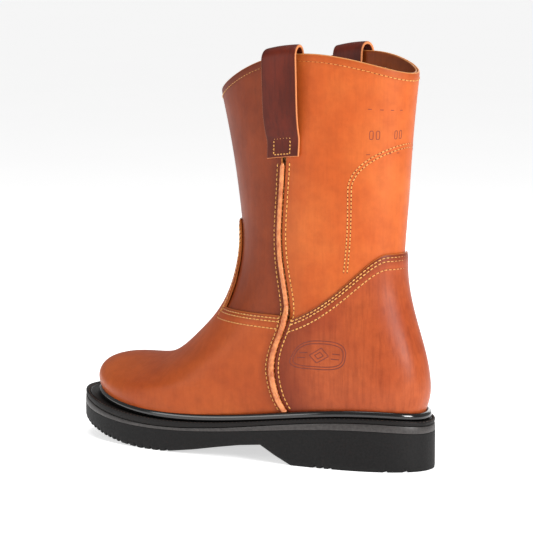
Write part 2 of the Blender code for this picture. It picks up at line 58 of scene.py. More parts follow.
# One row for each section of the last, in mm: front x, back x, height at 0, 45, 90, 135 and
# 180 degrees round the foot, half width at the same angles, and the x of the side seam.
LAST_SECTIONS = np.array([
    (138, -146,   37, 31, 31.5, 43, 42,        52, 55, 41, 42, 42,   -56),
    (142, -149.5, 48, 38, 41, 55, 55,        54, 58, 43, 44, 43,   -50),
    (134, -149,   58, 46, 55, 68, 68,        52, 57, 44, 44, 42,   -46),
    (108, -146,   63, 53, 69, 82, 82,        44, 52, 43, 43, 41,   -45),
    (74,  -140.5, 67, 68, 86, 98, 99,        34, 46, 42, 42, 40,   -49),
    (46,  -134.5, 86, 90, 106, 117, 118,     32, 42, 41, 41, 39,   -56),
    (20,  -130,   113, 120, 131, 141, 143,   36, 41, 41, 40, 38,   -55),
    (6,   -130.5, 153, 157, 164, 170, 172,   40, 42, 42, 40, 39,   -51),
    (7,   -133,   190, 194, 200, 204, 204,   42, 43, 43, 42, 40,   -53),
    (14,  -136,   231, 238, 248, 248, 245,   44, 45, 45, 43, 42,   -57),
    (24,  -141,   272, 284, 303, 298, 290,   46, 47, 48, 45, 44,   -58),
]) * MM
LAST_SQUARENESS = np.array([0.85, 0.85, 0.85, 0.87, 0.90, 0.95, 1, 1, 1, 1, 1])
LAST_ROWS = np.column_stack([LAST_SECTIONS, LAST_SQUARENESS])
COLLAR = len(LAST_SECTIONS) - 1
KNOT_ANGLES = np.radians([0, 45, 90, 135, 180])
FAN = np.linalg.inv(np.cos(np.outer(KNOT_ANGLES, np.arange(5))))
TOE_SWING, TOE_SWING_FROM, TOE_SWING_OVER = 6 * MM, 10 * MM, 130 * MM
FOOTPRINT_SHIFT = np.array([-0.75, 0.1, 0]) * MM

VAMP_LAYER = (0.5 * MM, 2.5 * MM)
LASTED_EDGE = -0.25
VAMP_TOP, TONGUE_TOP = 111 * MM, 178 * MM
TONGUE_START, TONGUE_END = np.radians([26, 42])
FRONT_SEAM_GAP = 1.5 * MM
PANEL_ROUND, PANEL_RISE = 330 * MM, 120 * MM    # typical panel, from which the rim's share is worked out
RIM = 1 * MM


def smooth(t):
    """Eased step from 0 to 1: t squared times three less two t."""
    t = np.clip(t, 0, 1)
    return t * t * (3 - 2 * t)


def round_foot(values, phi):
    """Value at angle phi: the cosine series that passes through the values at the knot angles."""
    series = np.asarray(values) @ FAN.T
    return (series * np.cos(np.asarray(phi)[..., None] * np.arange(5))).sum(-1)


def between_sections(level):
    """Row of the last at a level: the natural cubic spline through the rows, straight beyond them."""
    count = len(LAST_ROWS)
    matrix, bend = np.eye(count), np.zeros_like(LAST_ROWS)
    for i in range(1, count - 1):
        matrix[i, i - 1:i + 2] = (1, 4, 1)
        bend[i] = 3 * (LAST_ROWS[i + 1] - 2 * LAST_ROWS[i] + LAST_ROWS[i - 1])
    bend = np.linalg.solve(matrix, bend)
    inside = np.clip(level, 0, count - 1)
    i = np.clip(np.floor(inside).astype(int), 0, count - 2)
    t = (inside - i)[..., None]
    slope = LAST_ROWS[i + 1] - LAST_ROWS[i] - (2 * bend[i] + bend[i + 1]) / 3
    cubic = (bend[i + 1] - bend[i]) / 3
    value = LAST_ROWS[i] + slope * t + bend[i] * t ** 2 + cubic * t ** 3
    return value + (slope + 2 * bend[i] * t + 3 * cubic * t ** 2) * (level - inside)[..., None]


def outline(phi, front, back, half_width, squareness):
    """x = middle + reach cos(phi), y = half width times sin(phi) to a power, less the toe's swing."""
    x = (front + back) / 2 + (front - back) / 2 * np.cos(phi)
    y = half_width * np.sign(np.sin(phi)) * np.abs(np.sin(phi)) ** squareness
    return x, y - TOE_SWING * smooth((x - TOE_SWING_FROM) / TOE_SWING_OVER)


def last_point(phi, level):
    """Point of the last: its outline at the level, lifted to the height at the angle."""
    phi, level = np.broadcast_arrays(np.asarray(phi, float), np.asarray(level, float))
    row = between_sections(level)
    x, y = outline(phi, row[..., 0], row[..., 1], round_foot(row[..., 7:12], phi), row[..., 13])
    return np.stack([x, y, round_foot(row[..., 2:7], phi)], -1) + FOOTPRINT_SHIFT


def last_normal(phi, level):
    """Outward normal: the cross product of a small step round the foot and one up it."""
    step = 0.01
    around = last_point(phi + step, level) - last_point(phi - step, level)
    upward = last_point(phi, level + step) - last_point(phi, level - step)
    normal = np.cross(around, upward)
    return normal / np.linalg.norm(normal, axis=-1, keepdims=True)


def raised(phi, level, offset):
    """Point of the last moved outward along its normal."""
    return last_point(phi, level) + np.asarray(offset)[..., None] * last_normal(phi, level)


def level_at_height(phi, height):
    """Level where the last reaches a height: the interval is halved until it is thin."""
    phi, height = np.broadcast_arrays(np.asarray(phi, float), np.asarray(height, float))
    low, high = np.full(phi.shape, 2.0), np.full(phi.shape, float(COLLAR))
    for _ in range(18):
        middle = (low + high) / 2
        above = last_point(phi, middle)[..., 2] > height
        low, high = np.where(above, low, middle), np.where(above, middle, high)
    return (low + high) / 2


def seam_angle(level):
    """Angle of the side seam: the arc cosine of its x within the outline at the level."""
    row = between_sections(np.asarray(level, float))
    middle, reach = (row[..., 0] + row[..., 1]) / 2, (row[..., 0] - row[..., 1]) / 2
    return np.arccos((row[..., 12] - middle) / reach)


def sideways(level, distance):
    """Angle that moves a point near the seam by a distance: the distance over the outline's reach."""
    row = between_sections(np.asarray(level, float))
    return distance / ((row[..., 0] - row[..., 1]) / 2)


def vamp_edge(phi):
    """Height of the vamp's top: level at the sides, eased up into the tongue at the front."""
    tongue = 1 - smooth((np.abs(phi) - TONGUE_START) / (TONGUE_END - TONGUE_START))
    return VAMP_TOP + (TONGUE_TOP - VAMP_TOP) * tongue


def crowded(count, length, rim):
    """Shares from 0 to 1: evenly spaced, with four more inside each rim so that it can round off."""
    lip = rim / length * np.array([0, 0.06, 0.25, 0.6])
    return np.concatenate([lip, np.linspace(rim / length, 1 - rim / length, count), 1 - lip[::-1]])


def half_panel(back, low, high, columns, rows, gap):
    """Angles and levels between the two side seams, from level low(phi) to high(phi).

    An angle is a share of the seam's angle, which changes with level, so the two settle by
    repeated substitution.
    """
    share = crowded(columns, PANEL_ROUND, RIM) * 2 - 1
    t = crowded(rows, PANEL_RISE, RIM)[:, None]
    phi = share * np.pi / 2 + (np.pi if back else 0)
    level = low(phi) + (high(phi) - low(phi)) * t
    for _ in range(6):
        half = seam_angle(level)
        half = np.pi - half if back else half
        phi = share * (half - sideways(level, gap)) + (np.pi if back else 0)
        bottom, top = low(phi[0]), high(phi[-1])
        level = bottom + (top - bottom) * t
    return phi, level


def arc_length(points, axis):
    """Distance along a grid's rows or columns: the running sum of the steps between points."""
    steps = np.linalg.norm(np.diff(points, axis=axis), axis=-1)
    pad = [(0, 0), (0, 0)]
    pad[axis] = (1, 0)
    return np.pad(np.cumsum(steps, axis=axis), pad)


def grid_faces(rows, columns, start=0):
    """Quads between neighbouring points of a grid of rows and columns."""
    i, j = np.meshgrid(np.arange(rows - 1), np.arange(columns - 1), indexing="ij")
    a = (start + i * columns + j).ravel()
    return np.stack([a, a + 1, a + columns + 1, a + columns], -1)


def make_piece(name, points, faces, body, slot, *materials, sharp=40, index=None, **marks):
    """One closed mesh as a piece on a body, with marks such as its distance from an edge."""
    mesh = bpy.data.meshes.new(name)
    faces = faces.tolist() if isinstance(faces, np.ndarray) else faces
    mesh.from_pydata(points.reshape(-1, 3).tolist(), [], faces)
    for mark, values in marks.items():
        layer = mesh.attributes.new(mark, "FLOAT", "POINT")
        layer.data.foreach_set("value", np.ascontiguousarray(values, np.float32).ravel())
    if index is not None:
        mesh.polygons.foreach_set("material_index", index)
    work = bmesh.new()
    work.from_mesh(mesh)
    bmesh.ops.remove_doubles(work, verts=work.verts, dist=2e-6)
    bmesh.ops.recalc_face_normals(work, faces=work.faces)
    work.to_mesh(mesh)
    work.free()
    mesh.shade_smooth()
    mesh.set_sharp_from_angle(angle=np.radians(sharp))
    for material in materials:
        mesh.materials.append(material)
    piece = bpy.data.objects.new(name, mesh)
    bpy.context.scene.collection.objects.link(piece)
    if body:
        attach(piece, body)
    return piece


def shell(name, middle, normal, half, body, slot, *materials, rim=RIM, sides=True, skive=0.3):
    """Closed sheet: two faces half a thickness each side of the middle, which meet at the rim.

    The half thickness is scaled by the square root of 1 - (1 - d / rim)^2, with d the distance
    from the nearest rim, and is thinned by the skive over 5 mm towards the top edge.
    """
    up, along = arc_length(middle, 0), arc_length(middle, 1)
    top = up[-1] - up
    ends = np.minimum(along, along[:, -1:] - along)
    near = np.minimum(np.minimum(up, top), ends if sides else np.inf)
    taper = np.sqrt(1 - (1 - np.clip(near / rim, 0, 1)) ** 2)
    thin = 1 - skive * (1 - smooth(top / (5 * MM)))
    outer = middle + normal * (half * (2 * thin * (0.5 + 0.5 * taper) - 1))[..., None]
    inner = middle - normal * (half * (1 - thin + thin * taper))[..., None]
    faces = grid_faces(*middle.shape[:2])
    both = np.concatenate([faces, faces[:, ::-1] + middle[..., 0].size])
    marks = {mark: np.tile(values.ravel(), 2) for mark, values in
             (("edge", top), ("seam", ends), ("rim", near))}
    return make_piece(name, np.stack([outer, inner]), both, body, slot, *materials, **marks)


def panel(name, phi, level, layer, slot, finish, **settings):
    """Sheet over a patch of the last, between two distances from it."""
    middle = raised(phi, level, np.full(phi.shape, sum(layer) / 2))
    half = (layer[1] - layer[0]) / 2
    return shell(name, middle, last_normal(phi, level), half, "boot", slot, finish, **settings)


def linear(colour):
    """sRGB hex to linear light: (c + 0.055) / 1.055 to the power 2.4, or c / 12.92 when dark."""
    c = np.array([int(colour[i:i + 2], 16) for i in (1, 3, 5)]) / 255
    return (*np.where(c > 0.04045, ((c + 0.055) / 1.055) ** 2.4, c / 12.92), 1)


def add(tree, kind, links=None, **settings):
    """One node: links maps an input to a socket to join or to a value to set."""
    made = tree.nodes.new("ShaderNode" + kind)
    for key, value in settings.items():
        setattr(made, key, value)
    for key, value in (links or {}).items():
        if isinstance(value, bpy.types.NodeSocket):
            tree.links.new(value, made.inputs[key])
        else:
            made.inputs[key].default_value = value
    return made


def material(name, **shader):
    """A material with a Principled shader, and the tree to add its nodes to."""
    made = bpy.data.materials.new(name)
    made.use_nodes = True
    principled = made.node_tree.nodes["Principled BSDF"]
    for key, value in shader.items():
        principled.inputs[key.replace("_", " ")].default_value = value
    return made, made.node_tree, principled


def blend_colour(tree, share, a, b):
    """Mix of two colours by a share: a where it is 0 and b where it is 1."""
    node = add(tree, "Mix", data_type="RGBA")
    for number, value in ((0, share), (6, a), (7, b)):
        if isinstance(value, bpy.types.NodeSocket):
            tree.links.new(value, node.inputs[number])
        else:
            node.inputs[number].default_value = linear(value)
    return node.outputs[2]


def ramped(tree, value, low, high, to_low=0.0, to_high=1.0):
    """Value brought from the range low..high to the range to_low..to_high, held at the ends."""
    ends = {"From Min": low, "From Max": high, "To Min": to_low, "To Max": to_high}
    return add(tree, "MapRange", {"Value": value, **ends}).outputs[0]


def noise(tree, vector, size, detail=3.0, rough=0.55):
    """Noise whose lumps are about the given size in metres."""
    look = {"Scale": 1 / size, "Detail": detail, "Roughness": rough}
    return add(tree, "TexNoise", {"Vector": vector, **look}).outputs[0]


def pull_up_leather(name, dark, base, light, cut, roughness=0.42, streak=0.25, edge_dark=0.5,
                    seam_dark=11 * MM):
    """Oiled full-grain leather: the oil moves where it is pulled, so the colour clouds from dark
    to light over centimetres, with faint streaks up the hide, pores under a millimetre and a
    soft waxy gloss. Cut edges show the paler core.
    """
    made, tree, shader = material(name, Specular_IOR_Level=0.2, Coat_Weight=0.04, Coat_Roughness=0.35)
    place = add(tree, "TexCoord").outputs["Object"]
    cloud = ramped(tree, noise(tree, place, 55 * MM, 4.0), 0.32, 0.68)
    colour = blend_colour(tree, cloud, base, light)
    fine = ramped(tree, noise(tree, place, 9 * MM, 6.0, 0.65), 0.40, 0.75, 0, 0.28)
    colour = blend_colour(tree, fine, colour, dark)
    stretched = add(tree, "Mapping", {"Vector": place, "Scale": (1.0, 1.0, 0.07)}).outputs[0]
    streaks = ramped(tree, noise(tree, stretched, 2.2 * MM, 3.0), 0.45, 0.70, 0, streak)
    colour = blend_colour(tree, streaks, colour, dark)
    # Darker within 9 mm of the top edge and within seam_dark of the side seams: partly burnish, partly
    # painted shade where the panels meet and overlap.
    edge = add(tree, "Attribute", attribute_name="edge").outputs["Fac"]
    seam = add(tree, "Attribute", attribute_name="seam").outputs["Fac"]
    near_edge = ramped(tree, edge, 0.5 * MM, 9 * MM, edge_dark, 0)
    near_seam = ramped(tree, seam, 0.5 * MM, seam_dark, edge_dark, 0)
    burnish_and_shade = add(tree, "Math", {0: near_edge, 1: near_seam}, operation="MAXIMUM").outputs[0]
    colour = blend_colour(tree, burnish_and_shade, colour, dark)
    rim = add(tree, "Attribute", attribute_name="rim").outputs["Fac"]
    colour = blend_colour(tree, ramped(tree, rim, 0.15 * MM, 0.75 * MM, 1, 0), colour, cut)
    tree.links.new(colour, shader.inputs["Base Color"])
    gloss = ramped(tree, cloud, 0, 1, roughness + 0.07, roughness - 0.05)
    tree.links.new(gloss, shader.inputs["Roughness"])
    pores = add(tree, "TexVoronoi", {"Vector": place, "Scale": 1 / (0.9 * MM)}).outputs["Distance"]
    grain = add(tree, "Bump", {"Height": pores, "Strength": 0.22, "Distance": 0.12 * MM})
    pulls = add(tree, "Bump", {"Height": noise(tree, stretched, 7 * MM, 2.0), "Strength": 0.25,
                               "Distance": 0.6 * MM, "Normal": grain.outputs[0]})
    tree.links.new(pulls.outputs[0], shader.inputs["Normal"])
    return made


vamp_leather = pull_up_leather("oiled_pull_up_vamp", "#6E2808", "#A8481A", "#B85620", "#B8652C",
                               streak=0.10)
phi, level = half_panel(False, lambda p: np.full_like(p, LASTED_EDGE),
                        lambda p: level_at_height(p, vamp_edge(p)), 190, 90, FRONT_SEAM_GAP)
vamp = panel("vamp_upper", phi, level, VAMP_LAYER, "vamp_leather", vamp_leather)
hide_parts("vamp")

# ==== Counter cover =============================
# The heel cover, cut from a redder, harder-pulled part of the hide, moulded over the heel
# stiffener and stitched over the back shaft along its rising top edge.
COUNTER_SIDE, COUNTER_PEAK, COUNTER_CLIMB = 106 * MM, 158.5 * MM, np.radians(70)
BACK_SEAM_GAP = 1.8 * MM


def counter_edge(phi):
    """Height of the counter's top: an eased climb over 70 degrees from each side seam."""
    climbed = np.arcsin(np.clip(-np.cos(phi), -1, 1)) / COUNTER_CLIMB
    return COUNTER_SIDE + (COUNTER_PEAK - COUNTER_SIDE) * smooth(climbed)


# Heavy darkening, 0.75 at the top edge and over 34 mm from the side seams: painted shade.
counter_leather = pull_up_leather("burnished_counter", "#5C1A08", "#9E421E", "#B4562C", "#B8652C",
                                  roughness=0.36, streak=0.25, edge_dark=0.75, seam_dark=34 * MM)
phi, level = half_panel(True, lambda p: np.full_like(p, LASTED_EDGE),
                        lambda p: level_at_height(p, counter_edge(p)), 150, 90, BACK_SEAM_GAP)
counter = panel("counter_heel", phi, level, VAMP_LAYER, "counter_leather", counter_leather)
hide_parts("counter_cover")

# ==== Front and back shaft ======================
# The two leg panels, each tucked 12 mm under the vamp or the counter. Both are the same tan leather; the
# front one is coloured darker as painted shade, for the side of the leg turned away from the light. Their top
# edges are cut clean and stitched to the facing inside.
SHAFT_LAYER = (-2.0 * MM, 0.0)
UNDERLAP = 12 * MM


def collar_level(phi):
    """The collar's level at every angle."""
    return np.full_like(phi, float(COLLAR))


back_leather = pull_up_leather("oiled_pull_up_shaft", "#843410", "#BE5620", "#D06C30", "#D08A4C",
                               streak=0.10, edge_dark=0.4, seam_dark=20 * MM)
# Darker copy of the shaft leather: painted shade on the front of the leg.
shaded_front_leather = pull_up_leather("oiled_pull_up_front_painted_shade", "#4E1A06", "#7A2E0C", "#8E3C14", "#C87A3C",
                                streak=0.10)
phi, level = half_panel(False, lambda p: level_at_height(p, VAMP_TOP - UNDERLAP), collar_level,
                        110, 110, FRONT_SEAM_GAP)
front_shaft = panel("front_leg", phi, level, SHAFT_LAYER, "tan_leather", shaded_front_leather, skive=0.15)
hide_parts("front_shaft")
phi, level = half_panel(True, lambda p: level_at_height(p, counter_edge(p) - UNDERLAP), collar_level,
                        130, 110, BACK_SEAM_GAP)
back_shaft = panel("back_leg", phi, level, SHAFT_LAYER, "tan_leather", back_leather, skive=0.15)
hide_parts("back_shaft")

# ==== Closing threads ===========================
# Waxed golden polyester thread, 1 mm thick, in lock stitches 3.4 mm apart. Each stitch dives into a needle
# hole, drawn as a small dark disc that paints the shade inside the hole.
STITCH_PITCH, STITCH_LENGTH, THREAD_RADIUS = 3.4 * MM, 2.6 * MM, 0.5 * MM
STITCH_RINGS, STITCH_SIDES = 5, 6
HOLE_RADIUS, HOLE_DEPTH, HOLE_BEYOND = 0.48 * MM, 0.14 * MM, 0.35 * MM
LINE_STEP = 0.2 * MM                            # step that finds which way a line runs


def resampled(points, distance):
    """Points at given distances along a line of points, by straight interpolation."""
    run = arc_length(points[None], 1)[0]
    return np.stack([np.interp(distance, run, points[:, k]) for k in range(3)], -1)


def stitch_meshes(line, normal, pitch, length, radius):
    """Points and faces of a row of stitches along a line, then of their needle holes.

    A stitch is a tube whose centre rises by the sine of its share and whose radius swells with
    it; a hole is a flat double cone of six sides at each end of the stitch.
    """
    run = arc_length(line[None], 1)[0][-1]
    count = max(1, int(run / pitch))
    begin = (np.arange(count) + 0.5) * run / count - length / 2
    share = np.linspace(0, 1, STITCH_RINGS)
    where = begin[:, None] + share * length
    centre, up = resampled(line, where), resampled(normal, where)
    up /= np.linalg.norm(up, axis=-1, keepdims=True)
    along = resampled(line, where + LINE_STEP) - resampled(line, where - LINE_STEP)
    along /= np.linalg.norm(along, axis=-1, keepdims=True) + 1e-12
    side = np.cross(up, along)
    arch = np.sin(np.pi * share)[None, :, None]
    centre = centre + up * (radius * (1.1 * arch - 0.45))
    turn = np.linspace(0, 2 * np.pi, STITCH_SIDES, endpoint=False)[:, None]
    swell = radius * (0.55 + 0.45 * arch)[..., None]
    spokes = np.cos(turn) * side[:, :, None] + np.sin(turn) * up[:, :, None]
    tube = (centre[:, :, None] + swell * spokes).reshape(-1, 3)
    first = np.arange(count)[:, None, None] * STITCH_RINGS * STITCH_SIDES
    i, j = np.arange(STITCH_RINGS - 1)[:, None], np.arange(STITCH_SIDES)
    a, b = first + i * STITCH_SIDES + j, first + i * STITCH_SIDES + (j + 1) % STITCH_SIDES
    quads = np.stack([a, b, b + STITCH_SIDES, a + STITCH_SIDES], -1).reshape(-1, 4).tolist()
    caps = (first[:, 0] + np.arange(STITCH_SIDES)).tolist()
    far = (STITCH_RINGS - 1) * STITCH_SIDES
    caps += (first[:, 0] + far + np.arange(STITCH_SIDES)).tolist()
    ends = np.concatenate([begin - HOLE_BEYOND, begin + length + HOLE_BEYOND])
    spot, lift = resampled(line, ends), resampled(normal, ends)
    ahead = resampled(line, ends + LINE_STEP) - resampled(line, ends - LINE_STEP)
    across = np.cross(lift, ahead)
    across /= np.linalg.norm(across, axis=-1, keepdims=True) + 1e-12
    ahead /= np.linalg.norm(ahead, axis=-1, keepdims=True) + 1e-12
    ring = spot[:, None] + HOLE_RADIUS * (np.cos(turn) * across[:, None] + np.sin(turn) * ahead[:, None])
    tips = np.stack([spot + lift * HOLE_DEPTH, spot - lift * HOLE_DEPTH], 1)
    cones = np.concatenate([ring, tips], 1).reshape(-1, 3)
    size = STITCH_SIDES + 2
    base = np.arange(len(ends))[:, None] * size
    k = np.arange(STITCH_SIDES)
    upper = np.stack([base + k, base + (k + 1) % STITCH_SIDES, base + 0 * k + STITCH_SIDES], -1)
    lower = np.stack([base + (k + 1) % STITCH_SIDES, base + k, base + 0 * k + STITCH_SIDES + 1], -1)
    cone_faces = (np.concatenate([upper, lower]).reshape(-1, 3) + len(tube)).tolist()
    return np.concatenate([tube, cones]), quads + caps, cone_faces


def stitches(name, rows, pitch=STITCH_PITCH, length=STITCH_LENGTH, radius=THREAD_RADIUS):
    """All the rows of one seam as one piece: thread first, then the needle holes as dark discs of painted
    shade.
    """
    points, faces, index, start = [], [], [], 0
    for line, normal in rows:
        made, thread, holes = stitch_meshes(line, normal, pitch, length, radius)
        faces += [[start + v for v in face] for face in thread + holes]
        index += [0] * len(thread) + [1] * len(holes)
        points.append(made)
        start += len(made)
    return make_piece(name, np.concatenate(points), faces, "boot", "tan_leather", golden_thread,
                      needle_hole_shade, sharp=80, index=index)


def row_on_last(phi, level, offset):
    """Line on the last, and the normals along it, that a row of stitches follows."""
    return raised(phi, level, offset), last_normal(phi, level)


def below(phi, level, distance):
    """Level a distance further down the surface, from the length of one level there."""
    step = 0.02
    length = np.linalg.norm(last_point(phi, level) - last_point(phi, level - step), axis=-1) / step
    return level - distance / length


# Twisted polyester: a warm gold with darker twists, slightly glossy.
golden_thread, tree, shader = material("waxed_golden_thread", Roughness=0.5, Sheen_Weight=0.3)
place = add(tree, "TexCoord").outputs["Object"]
twist = ramped(tree, noise(tree, place, 0.8 * MM, 2.0), 0.4, 0.6)
tree.links.new(blend_colour(tree, twist, "#F0B45A", "#C8822C"), shader.inputs["Base Color"])
# Dark needle holes: painted shade inside the holes where the thread goes in.
needle_hole_shade, tree, shader = material("needle_hole_shade", Roughness=0.8)
place = add(tree, "TexCoord").outputs["Object"]
tree.links.new(blend_colour(tree, noise(tree, place, 1 * MM), "#4A1606", "#6E260C"),
               shader.inputs["Base Color"])

EDGE_ROWS = (2.4 * MM, 5.2 * MM, 11.5 * MM)
VAMP_ROW_GAP, COUNTER_ROW_GAP = 4.5 * MM, 5.0 * MM


def edge_rows(back, edge, gap):
    """Rows of stitches that follow a panel's top edge at the edge row distances."""
    rows, share = [], np.linspace(-1, 1, 600)
    for distance in EDGE_ROWS:
        phi = share * np.pi / 2 + (np.pi if back else 0)
        for _ in range(5):
            level = below(phi, level_at_height(phi, edge(phi)), distance)
            half = np.pi - seam_angle(level) if back else seam_angle(level)
            phi = share * (half - sideways(level, gap)) + (np.pi if back else 0)
        thin = 0.6 * MM * (1 - smooth(distance / (5 * MM)))
        rows.append(row_on_last(phi, level, np.full(phi.shape, VAMP_LAYER[1] - thin)))
    return rows


stitches("vamp_threads", edge_rows(False, vamp_edge, VAMP_ROW_GAP))
stitches("counter_threads", edge_rows(True, counter_edge, COUNTER_ROW_GAP))

SEAM_ROW_LEVELS, SEAM_ROW_AHEAD, SEAM_ROW_BEHIND = (0.3, 8.55), -5.2 * MM, 5.6 * MM


def seam_row(side, distance, edge):
    """Row beside the side seam, on the vamp or counter low down and on the shaft above."""
    level = np.linspace(*SEAM_ROW_LEVELS, 500)
    phi = seam_angle(level) + sideways(level, distance)
    step = 1 - smooth((last_point(phi, level)[:, 2] - edge(phi) + 1 * MM) / (1.5 * MM))
    return row_on_last(side * phi, level, VAMP_LAYER[1] * step)


for name, side in (("left_seam_threads", 1), ("right_seam_threads", -1)):
    stitches(name, [seam_row(side, SEAM_ROW_AHEAD, vamp_edge),
                    seam_row(side, SEAM_ROW_BEHIND, counter_edge)])

ARCH_SIDE, ARCH_FOOT, ARCH_SPRING, ARCH_RISE = np.radians(51), 145 * MM, 206 * MM, 30 * MM
ARCH_ROWS_APART, ARCH_RADIUS, ARCH_LEG_POINTS = 2.8 * MM, 68 * MM, 60


def arch_row(wider):
    """Arch on the back of the leg: straight legs, then half an ellipse over the heel's middle."""
    angle = ARCH_SIDE + wider / ARCH_RADIUS
    turn = np.linspace(0, np.pi, 160)
    upright = np.full(ARCH_LEG_POINTS, angle)
    out = np.concatenate([upright, angle * np.cos(turn), -upright])
    leg = np.linspace(ARCH_FOOT, ARCH_SPRING, ARCH_LEG_POINTS)
    height = np.concatenate([leg, ARCH_SPRING + (ARCH_RISE + wider) * np.sin(turn), leg[::-1]])
    phi = np.pi - out
    return row_on_last(phi, level_at_height(np.abs(phi), height), np.zeros(phi.shape))


stitches("back_stay_threads", [arch_row(0), arch_row(ARCH_ROWS_APART)], pitch=2.9 * MM, length=2.0 * MM)


def collar_row(distance):
    """Row right round the leg at a distance below the collar; it runs on under the pull straps."""
    phi = np.linspace(0.001, 2 * np.pi - 0.001, 900)
    return row_on_last(phi, below(phi, collar_level(phi), distance), np.zeros(phi.shape))


stitches("collar_threads", [collar_row(5.5 * MM)], length=2.2 * MM)

# ==== Side piping ===============================
# A folded strip of veg-tanned leather sewn into each side seam: a bead 3.5 mm wide on the leg and 4.6 mm
# beside the vamp, which hides where the panels meet. Its back edge is left open as a slit, pulled together by
# short cross stitches; the slit's dark line is painted shade, drawn by the dark needle holes of those
# stitches.
PIPING_LEVELS, SLIT_LEVELS, SLIT_BEHIND = (0.22, 8.56), (0.35, 8.2), 1.9 * MM
BEAD_SECTION = np.radians(np.linspace(0, 360, 14))[:-1]
RIPPLE, RIPPLE_PITCH = 0.06, 4 * MM


def beside_vamp(height):
    """Share that is 1 beside the vamp and eases to 0 over 10 mm, from 2 mm below its top."""
    return 1 - smooth((height - VAMP_TOP + 2 * MM) / (10 * MM))


def piping(name, side):
    """Tube up the seam: an oval whose half width ripples by 6 percent every 4 mm."""
    level = np.linspace(*PIPING_LEVELS, 420)
    seam = seam_angle(level)
    low = beside_vamp(last_point(seam, level)[:, 2])
    run = arc_length(last_point(seam, level)[None], 1)[0]
    half = (1.75 + 0.55 * low) * MM * (1 + RIPPLE * np.sin(2 * np.pi * run / RIPPLE_PITCH))
    middle = (0.7 + 2.6 * low) * MM
    rise = (1.5 + 0.2 * low) * MM
    end = np.sqrt(np.clip((level[-1] - level) / 0.06, 0, 1))
    across = -0.35 * MM + half[:, None] * np.cos(BEAD_SECTION) * end[:, None]
    out = middle[:, None] + rise[:, None] * np.sin(BEAD_SECTION) * end[:, None]
    angle = seam[:, None] + sideways(level[:, None], across)
    points = raised(side * angle, np.broadcast_to(level[:, None], angle.shape), out)
    closed = np.concatenate([points, points[:, :1]], 1)
    faces = grid_faces(*closed.shape[:2]).tolist() + [list(range(len(BEAD_SECTION)))]
    return make_piece(name, closed, faces, "boot", "piping_leather", piping_leather)


def slit_ticks(side):
    """Row of short loops in the slit behind the bead, 4.2 mm apart."""
    level = np.linspace(*SLIT_LEVELS, 400)
    phi = seam_angle(level) + sideways(level, SLIT_BEHIND)
    return row_on_last(side * phi, level, (0.1 + 2.4 * beside_vamp(last_point(phi, level)[:, 2])) * MM)


# Vegetable-tanned calf: paler and pinker than the upper, darkened where it is handled.
piping_leather, tree, shader = material("veg_tan_piping", Roughness=0.45, Coat_Weight=0.1)
place = add(tree, "TexCoord").outputs["Object"]
mottle = ramped(tree, noise(tree, place, 6 * MM, 5.0, 0.65), 0.4, 0.7)
tree.links.new(blend_colour(tree, mottle, "#E28E54", "#A84E20"), shader.inputs["Base Color"])
grain = add(tree, "Bump", {"Height": noise(tree, place, 0.8 * MM), "Strength": 0.3, "Distance": 0.1 * MM})
tree.links.new(grain.outputs[0], shader.inputs["Normal"])
for side_name, side in (("left", 1), ("right", -1)):
    bead = piping(side_name + "_piping_bead", side)
    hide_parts(side_name + "_side_piping")
    stitches(side_name + "_slit_stitches", [slit_ticks(side)], pitch=4.2 * MM, length=0.6 * MM,
             radius=0.3 * MM)

# ==== Collar facing and linings =================
# A leather band sewn inside the collar with slanted whip stitches, then a knitted polyester
# lining glued to the leather down to the foot.
FACING_FOOT, LINING_JOIN, LINING_EDGE = 9.68, 4.6, 0.03
FACING_BAND, LINING_BAND = (-3.7 * MM, -2.05 * MM), (-5.0 * MM, -4.1 * MM)
RING_RISE, WHIP_STITCHES, WHIP_ROUND, WHIP_CLIMB = 60 * MM, 64, 0.055, (0.02, 0.15)


def ring(name, low, high, layer, rows, slot_name, finish, **settings):
    """Sheet right round the leg between two levels."""
    around = np.linspace(0, 2 * np.pi, 161)
    level = low + (high - low) * crowded(rows, RING_RISE, RIM)[:, None] + 0 * around
    return panel(name, around + 0 * level, level, layer, slot_name, finish, sides=False, **settings)


facing_leather = pull_up_leather("collar_facing_leather", "#5E2009", "#8F4014", "#A8521C", "#C07A40")
facing = ring("facing_band", FACING_FOOT, float(COLLAR), FACING_BAND, 8, "tan_leather", facing_leather,
              skive=0.0)
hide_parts("collar_facing")

# Weft-knitted polyester: beige loops 1.6 mm apart, drawn a little coarser than life.
lining_cloth, tree, shader = material("beige_knit_lining", Roughness=0.95, Sheen_Weight=0.4)
place = add(tree, "TexCoord").outputs["Object"]
loops = add(tree, "TexVoronoi", {"Vector": place, "Scale": 1 / (1.6 * MM)}).outputs["Distance"]
tree.links.new(blend_colour(tree, ramped(tree, loops, 0.1, 0.7), "#C99A66", "#8A5A30"),
               shader.inputs["Base Color"])
knit = add(tree, "Bump", {"Height": loops, "Strength": 0.6, "Distance": 0.4 * MM})
tree.links.new(knit.outputs[0], shader.inputs["Normal"])
leg_lining = ring("leg_lining", LINING_JOIN + 0.03, FACING_FOOT + 0.02, LINING_BAND, 60, "lining",
                  lining_cloth)
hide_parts("shaft_lining")
shoe_lining = ring("shoe_lining", LINING_EDGE, LINING_JOIN, LINING_BAND, 40, "lining", lining_cloth)
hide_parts("foot_lining")


def whip_rows():
    """Slanted stitches over the facing's foot: short lines that climb while they go round."""
    level, rows = FACING_FOOT + np.linspace(*WHIP_CLIMB, 8), []
    for start in np.linspace(0, 2 * np.pi, WHIP_STITCHES, endpoint=False):
        phi = start + np.linspace(0, WHIP_ROUND, 8)
        rows.append((raised(phi, level, np.full(8, FACING_BAND[0])), -last_normal(phi, level)))
    return rows


stitches("facing_whip_threads", whip_rows(), pitch=5 * MM, length=4.4 * MM)

